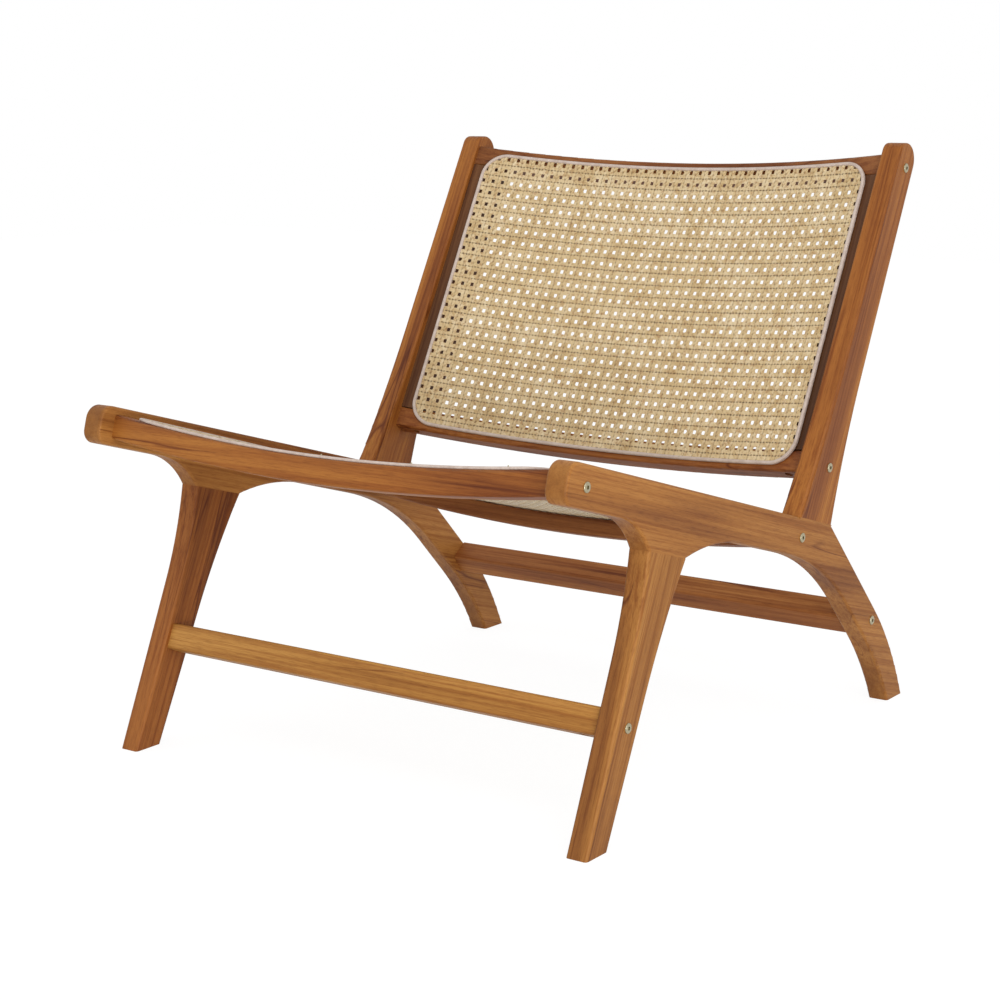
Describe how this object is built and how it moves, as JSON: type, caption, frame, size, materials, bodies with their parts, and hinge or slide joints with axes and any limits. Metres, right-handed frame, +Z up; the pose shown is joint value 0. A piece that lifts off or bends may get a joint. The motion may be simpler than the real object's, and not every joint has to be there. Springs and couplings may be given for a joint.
{
  "type": "armless lounge chair",
  "caption": "Low armless lounge chair: solid wooden side frames with splayed legs and leaning back posts, curved cross rails, and woven cane panels for the seat and back.",
  "frame": {"origin": "middle of the outline on the floor, under the chair", "axes": "+X to the right of someone facing the chair, -Y towards the front edge of the seat, +Z up"},
  "size_m": [0.6632, 0.7972, 0.7061],
  "materials": {
    "frame_wood": "oiled",
    "border_reed": "matte",
    "woven_cane": "woven",
    "bolt_steel": "satin",
    "dowel_wood": "plain"
  },
  "bodies": {
    "root": {"side_rail_left": "frame_wood", "side_rail_right": "frame_wood", "front_leg_left": "frame_wood", "front_leg_right": "frame_wood", "back_post_left": "frame_wood", "back_post_right": "frame_wood", "front_seat_rail": "frame_wood", "rear_seat_rail": "frame_wood", "lower_back_rail": "frame_wood", "top_back_rail": "frame_wood", "back_stile_left": "frame_wood", "back_stile_right": "frame_wood", "front_stretcher": "frame_wood", "rear_stretcher": "frame_wood", "seat_border": "border_reed", "back_border": "border_reed", "seat_cane": "woven_cane", "back_cane": "woven_cane", "connector_bolts": "bolt_steel", "barrel_nuts": "bolt_steel", "seat_border_pins": "bolt_steel", "back_border_pins": "bolt_steel", "rail_dowels": "dowel_wood", "leg_dowels": "dowel_wood", "post_dowels": "dowel_wood"}
  },
  "joints": []
}
